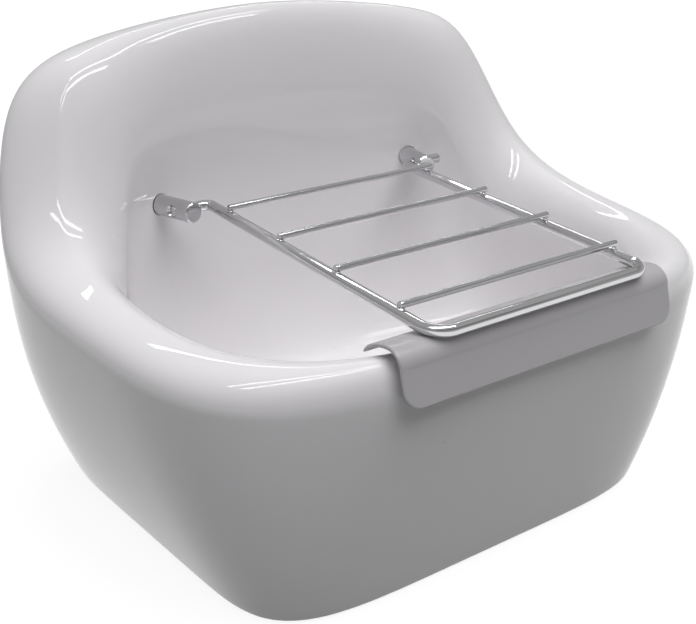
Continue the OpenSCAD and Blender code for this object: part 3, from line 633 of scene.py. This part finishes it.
# %% Hinge posts
POST_CHAMFER, POST_FOOT_CHAMFER, PIN_FIT, CROSS_SINK = 1, 0.4, 0.1, 0.8
STUD_D, STUD_GRIP, CORNER_EASE, CORNER_POINTS, CONE_PAST = 8, 12, 0.25, 4, 3


def eased(profile):
    """The same profile with each corner rounded by a short curve: a point moves from one side
    of the corner to the other on a quadratic curve whose middle control point is the corner."""
    p = np.array(profile, float)
    rounded = [p[0]]
    for before, corner, after in zip(p[:-2], p[1:-1], p[2:]):
        a = corner + CORNER_EASE * (before - corner) / np.linalg.norm(before - corner)
        b = corner + CORNER_EASE * (after - corner) / np.linalg.norm(after - corner)
        t = np.linspace(0, 1, CORNER_POINTS)[:, None]
        rounded.extend((1 - t) ** 2 * a + 2 * t * (1 - t) * corner + t ** 2 * b)
    return rounded + [p[-1]]


for side, name in ((-1, "left"), (1, "right")):
    r, nose, foot = POST_D / 2, POST_REACH + POST_NOSE, POST_FOOT_CHAMFER
    profile = eased([(0, 0), (r - foot, 0), (r, foot), (r, nose - POST_CHAMFER),
                     (r - POST_CHAMFER, nose), (0, nose)])
    post = turned(f"hinge_post_{name}", profile, on_post(side, -POST_REACH), post_axis(side))
    bore, sink = ROD_R + PIN_FIT, 2 * CROSS_SINK
    half_cone = [(bore, past_post - sink), (bore + sink, past_post + OVERSHOOT),
                 (bore + sink + CONE_PAST, past_post + OVERSHOOT + CONE_PAST),
                 (0, past_post + OVERSHOOT + CONE_PAST)]
    through = [(radius, -along) for radius, along in half_cone[::-1]] + half_cone
    cut(post, [turned("cutter", through, on_post(side, 0), (1, 0, 0)),
               drill(STUD_D, on_post(side, -POST_REACH), post_axis(side), -OVERSHOOT, STUD_GRIP)])
    finish_piece(post, "sink", "chrome", f"hinge_post_{name}")
    chromed.append(post)

# %% [markdown]
# A finish is a network of shader nodes. Written as arithmetic it stays readable: one class
# wraps a node's output so that sums and products add Math nodes, and one method adds any other
# node. A network alone is enough for the sky, and a finish is a network with a Principled
# shader.

# %% Shader arithmetic
class Value:
    """A node's output. Its sums, differences, products and quotients are Math nodes."""

    def __init__(self, network, socket):
        self.network, self.socket = network, socket

    def maths(self, operation, *values):
        sockets = dict(enumerate(values))
        return self.network.node("ShaderNodeMath", {"operation": operation}, sockets)

    def __add__(self, other):
        return self.maths("ADD", self, other)

    def __sub__(self, other):
        return self.maths("SUBTRACT", self, other)

    def __rsub__(self, other):
        return self.maths("SUBTRACT", other, self)

    def __mul__(self, other):
        return self.maths("MULTIPLY", self, other)

    def __truediv__(self, other):
        return self.maths("DIVIDE", self, other)

    def smaller(self, other):
        return self.maths("MINIMUM", self, other)

    def larger(self, other):
        return self.maths("MAXIMUM", self, other)

    __radd__, __rmul__ = __add__, __mul__


class Network:
    """The nodes of a material or of the world."""

    def __init__(self, tree):
        self.tree = tree

    def node(self, kind, settings=None, values=None, out=0):
        """Adds a node: its settings first, then its sockets' values or links."""
        node = self.tree.nodes.new(kind)
        for name, setting in (settings or {}).items():
            setattr(node, name, setting)
        for key, value in (values or {}).items():
            if isinstance(value, Value):
                self.tree.links.new(value.socket, node.inputs[key])
            else:
                node.inputs[key].default_value = value
        return Value(self, node.outputs[out])

    def seen(self):
        """1 where the camera looks, straight or by a mirror or through glass, and 0 for the
        light."""
        camera, gloss, glass = (self.node("ShaderNodeLightPath", out=f"Is {ray} Ray")
                                for ray in ("Camera", "Glossy", "Transmission"))
        return (camera + gloss + glass).smaller(1)


class Finish(Network):
    """A procedural material on a Principled shader, worked out in Object coordinates."""

    def __init__(self, name, **constants):
        self.material = bpy.data.materials.new(name)
        self.material.use_nodes = True
        super().__init__(self.material.node_tree)
        self.shader = self.tree.nodes["Principled BSDF"]
        for socket, value in constants.items():
            self.shader.inputs[socket.replace("_", " ")].default_value = value
        self.place = self.node("ShaderNodeTexCoord", out="Object")

    def noise(self, size, detail=3, stretch=(1, 1, 1)):
        """Smooth noise from 0 to 1, whose features are about size millimetres across."""
        place = self.node("ShaderNodeMapping", values={"Vector": self.place, "Scale": stretch})
        return self.node("ShaderNodeTexNoise", values={"Vector": place, "Scale": 1 / (size * MM),
                                                       "Detail": detail, "Roughness": 0.5})

    def cells(self, size):
        """Distance to the nearest of a scatter of points about size millimetres apart."""
        return self.node("ShaderNodeTexVoronoi",
                         values={"Vector": self.place, "Scale": 1 / (size * MM)}, out="Distance")

    def axis(self, letter):
        """One of the Object coordinates, in millimetres."""
        return self.node("ShaderNodeSeparateXYZ", values={"Vector": self.place}, out=letter) / MM

    def between(self, value, low, high):
        """0 below low, 1 above high and a smooth step between them."""
        return self.node("ShaderNodeMapRange", {"interpolation_type": "SMOOTHSTEP"},
                         {"Value": value, "From Min": low, "From Max": high})

    def colour(self, a, b, k):
        """From colour a at k = 0 to colour b at k = 1."""
        a, b = (c if isinstance(c, Value) else (*c, 1) for c in (a, b))
        return self.node("ShaderNodeMix", {"data_type": "RGBA"}, {0: k, 6: a, 7: b}, 2)

    def bump(self, height, depth, strength, under=None):
        """A normal that follows a height from 0 to 1, depth millimetres tall."""
        values = {"Height": height, "Distance": depth * MM, "Strength": strength}
        if under:
            values["Normal"] = under
        return self.node("ShaderNodeBump", values=values)

    def lay(self, **sockets):
        """Joins values to the shader's own sockets."""
        for name, value in sockets.items():
            self.tree.links.new(value.socket, self.shader.inputs[name.replace("_", " ")])
        return self.material


def coat(piece, material):
    """Gives a piece one material, and says how many nodes it has."""
    piece.data.materials.clear()
    piece.data.materials.append(material)
    print(piece.name, "in", material.name, "with", len(material.node_tree.nodes), "nodes")


# %% [markdown]
# Vitreous china is a white glaze over a cream body. The glaze is smooth and wet-looking, but it
# settles in shallow waves, carries a few tiny specks, and is left off where the piece stood in
# the kiln and where its back is ground flat. Places decide that, read from the Object
# coordinates.

# %% Glazed china
GLAZE = (0.840, 0.822, 0.842), (0.870, 0.852, 0.872)
BISQUE = (0.80, 0.78, 0.74), (0.74, 0.71, 0.66)
SPECK = (0.46, 0.42, 0.36)
FOOT_BARE, BACK_BARE = (3.2, 4.6), (WALL_Y - 0.6, WALL_Y - 0.2)


def glazed_china():
    """White glaze, and bare body on the foot and on the ground back."""
    f = Finish("glazed_china", IOR=1.5, Specular_IOR_Level=0.42)
    foot = 1 - f.between(f.axis("Z") + f.noise(14) * 3, *FOOT_BARE)
    back = f.between(f.axis("Y") + f.noise(9) * 1.2, *BACK_BARE)
    bare = foot.larger(back)
    body = f.colour(*BISQUE, f.noise(3, 5))
    specks = (1 - f.between(f.cells(23), 0.012, 0.030)) * f.between(f.noise(60, 1), 0.52, 0.6)
    white = f.colour(f.colour(*GLAZE, f.noise(95, 2)), SPECK, specks * 0.7)
    gloss, matt = f.noise(40) * 0.02 + 0.025, f.noise(2) * 0.2 + 0.7
    rough = f.node("ShaderNodeMix", values={0: bare, 2: gloss, 3: matt})
    waves = f.bump(f.noise(42, 1), 0.08, 0.22)
    peel = f.bump(f.noise(5, 2), 0.012, 0.3, waves)
    grit = f.bump(f.noise(0.8, 4) * bare, 0.12, 0.8, peel)
    return f.lay(Base_Color=f.colour(white, body, bare), Roughness=rough, Normal=grit)


coat(casting, glazed_china())

# %% [markdown]
# Moulded plastic is duller than glaze. Its skin has the fine matt grain of the mould, flow
# clouds that show in the gloss, and rub marks along the crown, where buckets and the rod touch
# it. Its grey colour is partly the plastic's own tone and partly painted shade.

# %% Saddle plastic
# Partly the plastic's own tone and partly painted shade: the whole saddle is greyed below white.
PLASTIC_TONE_AND_SHADE = (0.465, 0.451, 0.466), (0.500, 0.486, 0.501)
SCRATCHED = (0.50, 0.49, 0.49)
RUBBED = (CROWN_Z - 2.2, CROWN_Z - 0.2)


def moulded_plastic():
    """Satin plastic with a mould's grain, scratched along the crown."""
    f = Finish("moulded_plastic", IOR=1.49)
    rub = f.between(f.axis("Z"), *RUBBED)
    scratch = f.between(f.noise(1.2, 2, stretch=(0.12, 1, 1)), 0.62, 0.74) * rub
    # This base grey carries the painted shade as well as the plastic's tone.
    white = f.colour(*PLASTIC_TONE_AND_SHADE, f.noise(60, 3, stretch=(0.4, 1, 1)))
    white = f.colour(white, SCRATCHED, scratch * 0.35)
    rough = f.noise(22) * 0.10 + 0.20 + scratch * 0.25
    grain = f.bump(f.noise(0.55, 2), 0.006, 0.5)
    return f.lay(Base_Color=white, Roughness=rough, Normal=f.bump(f.noise(45, 1), 0.18, 0.3, grain))


coat(saddle, moulded_plastic())

# %% [markdown]
# The metals differ in how they were worked: chrome is plated over drawn rod, so its faint lines
# lie under a bright skin, the steel is turned, and the brass of nut and tail is cast and
# machined.

# %% Metals and rubber
def bright_chrome():
    """Mirror plating with hazy patches and a few dull pits."""
    f = Finish("bright_chrome", Metallic=1.0)
    tone = f.colour((0.60, 0.60, 0.61), (0.68, 0.68, 0.69), f.noise(34, 2))
    haze = f.between(f.noise(9, 4), 0.50, 0.75)
    rough = 0.05 + haze * 0.10 + f.noise(1.5) * 0.03
    pits = (1 - f.between(f.cells(4.5), 0.03, 0.09)) * f.between(f.noise(18), 0.55, 0.62)
    tone = f.colour(tone, (0.42, 0.40, 0.37), pits * 0.5)
    return f.lay(Base_Color=tone, Roughness=rough + pits * 0.2,
                 Normal=f.bump(f.noise(2.5, 2), 0.01, 0.4))


def turned_steel():
    """Plain steel with fine tool lines."""
    f = Finish("turned_steel", Metallic=1.0)
    lines = f.noise(0.5, 3, stretch=(1, 0.15, 1))
    tone = f.colour((0.50, 0.50, 0.51), (0.64, 0.64, 0.65), f.noise(6, 3))
    return f.lay(Base_Color=tone, Roughness=0.24 + lines * 0.16,
                 Normal=f.bump(lines, 0.02, 0.5))


def cast_brass():
    """Brass with brown tarnish in patches."""
    f = Finish("cast_brass", Metallic=1.0)
    tarnish = f.between(f.noise(12, 4), 0.45, 0.7)
    tone = f.colour((0.72, 0.56, 0.30), (0.46, 0.34, 0.18), tarnish * 0.7)
    return f.lay(Base_Color=tone, Roughness=0.26 + tarnish * 0.25,
                 Normal=f.bump(f.noise(0.9, 3), 0.02, 0.5))


def soft_finish(name, tones, mottle, rough, grain):
    """Rubber or vinyl: mottled between two tones, with a roughness and a grained skin. Mottle
    is the noise's size and detail, rough its least, spread and size, and grain its size,
    detail, depth and strength."""
    f = Finish(name, IOR=1.5)
    least, extra, size = rough
    return f.lay(Base_Color=f.colour(*tones, f.noise(*mottle)),
                 Roughness=least + f.noise(size) * extra,
                 Normal=f.bump(f.noise(*grain[:2]), *grain[2:]))


chrome, steel, brass = bright_chrome(), turned_steel(), cast_brass()
rubber = soft_finish("matt_rubber", ((0.035, 0.035, 0.038), (0.075, 0.073, 0.072)), (5, 4),
                     (0.62, 0.2, 1.5), (0.4, 3, 0.02, 0.6))
vinyl = soft_finish("soft_vinyl", ((0.72, 0.71, 0.71), (0.80, 0.79, 0.79)), (4, 3),
                    (0.35, 0.15, 1), (0.5, 2, 0.01, 0.5))
finishes = {"waste_strainer": chrome, "waste_screw": steel, "waste_body": brass,
            "waste_top_seal": rubber, "waste_low_seal": rubber}
for side in ("left", "right"):
    finishes |= {f"hinge_gasket_{side}": vinyl, f"hinge_stud_{side}": steel,
                 f"hinge_washer_{side}": steel, f"hinge_nut_{side}": brass}
for name, material in finishes.items():
    coat(nodes[name], material)
for piece in chromed:
    coat(piece, chrome)

# %% [markdown]
# The photograph has soft light from overhead and from the left, a dim front and a white ground.
# Two wide suns are the softboxes, and the world gives a fill that is brighter on the left.
# Three tubes overhead draw the bright lines along the rim: they show in the gloss and light
# nothing. The ground is white for the camera, and it still takes the shadow.

# %% Ground
GROUND_TONE, GROUND_GLOW, GROUND_HALF, GROUND_Z = 0.17, 0.90, 30, -0.0005
SQUARE = (-1, -1), (1, -1), (1, 1), (-1, 1)


def flat_panel(name, corners):
    """A rectangle from its four corners, in metres."""
    mesh = bpy.data.meshes.new(name)
    mesh.from_pydata(corners, [], [(0, 1, 2, 3)])
    panel = bpy.data.objects.new(name, mesh)
    bpy.context.scene.collection.objects.link(panel)
    return panel


def ground_material():
    """A matt grey that takes the shadow, with a glow on top for what is seen."""
    f = Finish("ground", Roughness=1.0, Base_Color=(*[GROUND_TONE] * 3, 1), Specular_IOR_Level=0)
    strength = f.seen() * GROUND_GLOW
    glow = f.node("ShaderNodeEmission", values={"Color": (1, 1, 1, 1), "Strength": strength})
    both = f.node("ShaderNodeAddShader", values={0: Value(f, f.shader.outputs[0]), 1: glow})
    f.tree.links.new(both.socket, f.tree.nodes["Material Output"].inputs["Surface"])
    return f.material


floor = flat_panel("ground", [(x * GROUND_HALF, y * GROUND_HALF, GROUND_Z) for x, y in SQUARE])
coat(floor, ground_material())
floor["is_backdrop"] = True

# %% [markdown]
# Wide lamps give soft shadows, and narrow ones draw lines. A photographer uses both, so the
# suns here are hidden from the gloss and the tubes are hidden from the diffuse light. The tubes
# stand where the photograph's highlights, traced back from the rim, say that its own lamps
# were.

# %% Lights
FILL, FILL_LEFT = 0.060, 0.34
SOFTBOXES = {"softbox_front": ((0, -0.6, 1.6), 1.90), "softbox_right": ((0.55, 0.1, 1.6), 0.80)}
SOFTBOX_ANGLE = 50
TUBE_Z, TUBE_GLOW = 1.85, 11
TUBES = {"tube_back": (0.85, 1.45, 2.3, 0.10), "tube_middle": (-0.2, -0.4, 2.4, 0.09),
         "tube_front": (-0.2, -0.75, 2.4, 0.13)}


def sky():
    """White for what the camera and the gloss see, and a fill that grows towards the left."""
    world = bpy.data.worlds.new("sky")
    bpy.context.scene.world = world
    world.use_nodes = True
    net = Network(world.node_tree)
    direction = net.node("ShaderNodeTexCoord", out="Generated")
    x = net.node("ShaderNodeSeparateXYZ", values={"Vector": direction}, out="X")
    fill = FILL - x.smaller(0.0) * FILL_LEFT
    seen = net.seen()
    strength = seen + (1 - seen) * fill
    back = net.tree.nodes["Background"]
    back.inputs["Color"].default_value = (1, 1, 1, 1)
    net.tree.links.new(strength.socket, back.inputs["Strength"])


def lamp(name, kind, at, energy, **settings):
    """A lamp at a point in metres, which shines straight down until it is turned."""
    data = bpy.data.lights.new(name, kind)
    data.energy = energy
    for key, value in settings.items():
        setattr(data, key, value)
    light = bpy.data.objects.new(name, data)
    bpy.context.scene.collection.objects.link(light)
    light.location = at
    return light


sky()
for name, (at, energy) in SOFTBOXES.items():
    softbox = lamp(name, "SUN", at, energy, angle=math.radians(SOFTBOX_ANGLE))
    softbox.rotation_mode = "QUATERNION"
    softbox.rotation_quaternion = (-Vector(at)).to_track_quat("-Z", "Y")
    softbox.visible_glossy = False
for name, (x, y, long, wide) in TUBES.items():
    tube = lamp(name, "AREA", (x, y, TUBE_Z), TUBE_GLOW * math.pi * wide * long, shape="RECTANGLE",
                size=long, size_y=wide)
    tube.visible_diffuse = False

# %% [markdown]
# Chrome shows its surroundings, so a tent of five panels stands round the sink for the gloss
# alone. Dim, shaded cloth gives the rods their grey body, and the tubes give them their light
# lines.

# %% Tent
TENT_HALF, TENT_H = 2.4, 2.0
TENT_WALLS = {"tent_front": ((-1, -1), (1, -1), 0.50, 0.12),
              "tent_right": ((1, -1), (1, 1), 0.55, 0.30),
              "tent_left": ((-1, -1), (-1, 1), 0.42, 0.32),
              "tent_back": ((-1, 1), (1, 1), 0.42, 0.32)}
TENT_TOP = 0.45


def tent_wall(name, corners, at_floor, at_top):
    """A panel of the tent, which only the gloss sees. Its brightness runs smoothly from one
    value at the floor to another at the tent's top."""
    panel = flat_panel(name, [(x * TENT_HALF, y * TENT_HALF, z) for x, y, z in corners])
    cloth = Finish(name, Roughness=1.0, Specular_IOR_Level=0.0, Emission_Strength=1.0,
                   Base_Color=(0, 0, 0, 1))
    shade = cloth.between(cloth.axis("Z"), 0, TENT_H / MM) * (at_top - at_floor) + at_floor
    coat(panel, cloth.lay(Emission_Color=shade))
    for ray in ("camera", "diffuse", "shadow", "transmission", "volume_scatter"):
        setattr(panel, f"visible_{ray}", False)
    panel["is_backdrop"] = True


for name, (a, b, at_floor, at_top) in TENT_WALLS.items():
    tent_wall(name, [(*a, 0), (*b, 0), (*b, TENT_H), (*a, TENT_H)], at_floor, at_top)
tent_wall("tent_top", [(x, y, TENT_H) for x, y in SQUARE], TENT_TOP, TENT_TOP)

# %% [markdown]
# The looks must not change the size, so the box round all the pieces is compared with the box
# of the CAD model, and how far each side has grown is printed.

# %% Compare the boxes and finish
boxes = {"cad": [list(c) for c in cad_box], "visual": [list(c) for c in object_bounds()]}
growth = [round((b - a) / MM, 2) for c, v in zip(*boxes.values()) for a, b in zip(c, v)]
print("growth in mm:", growth)
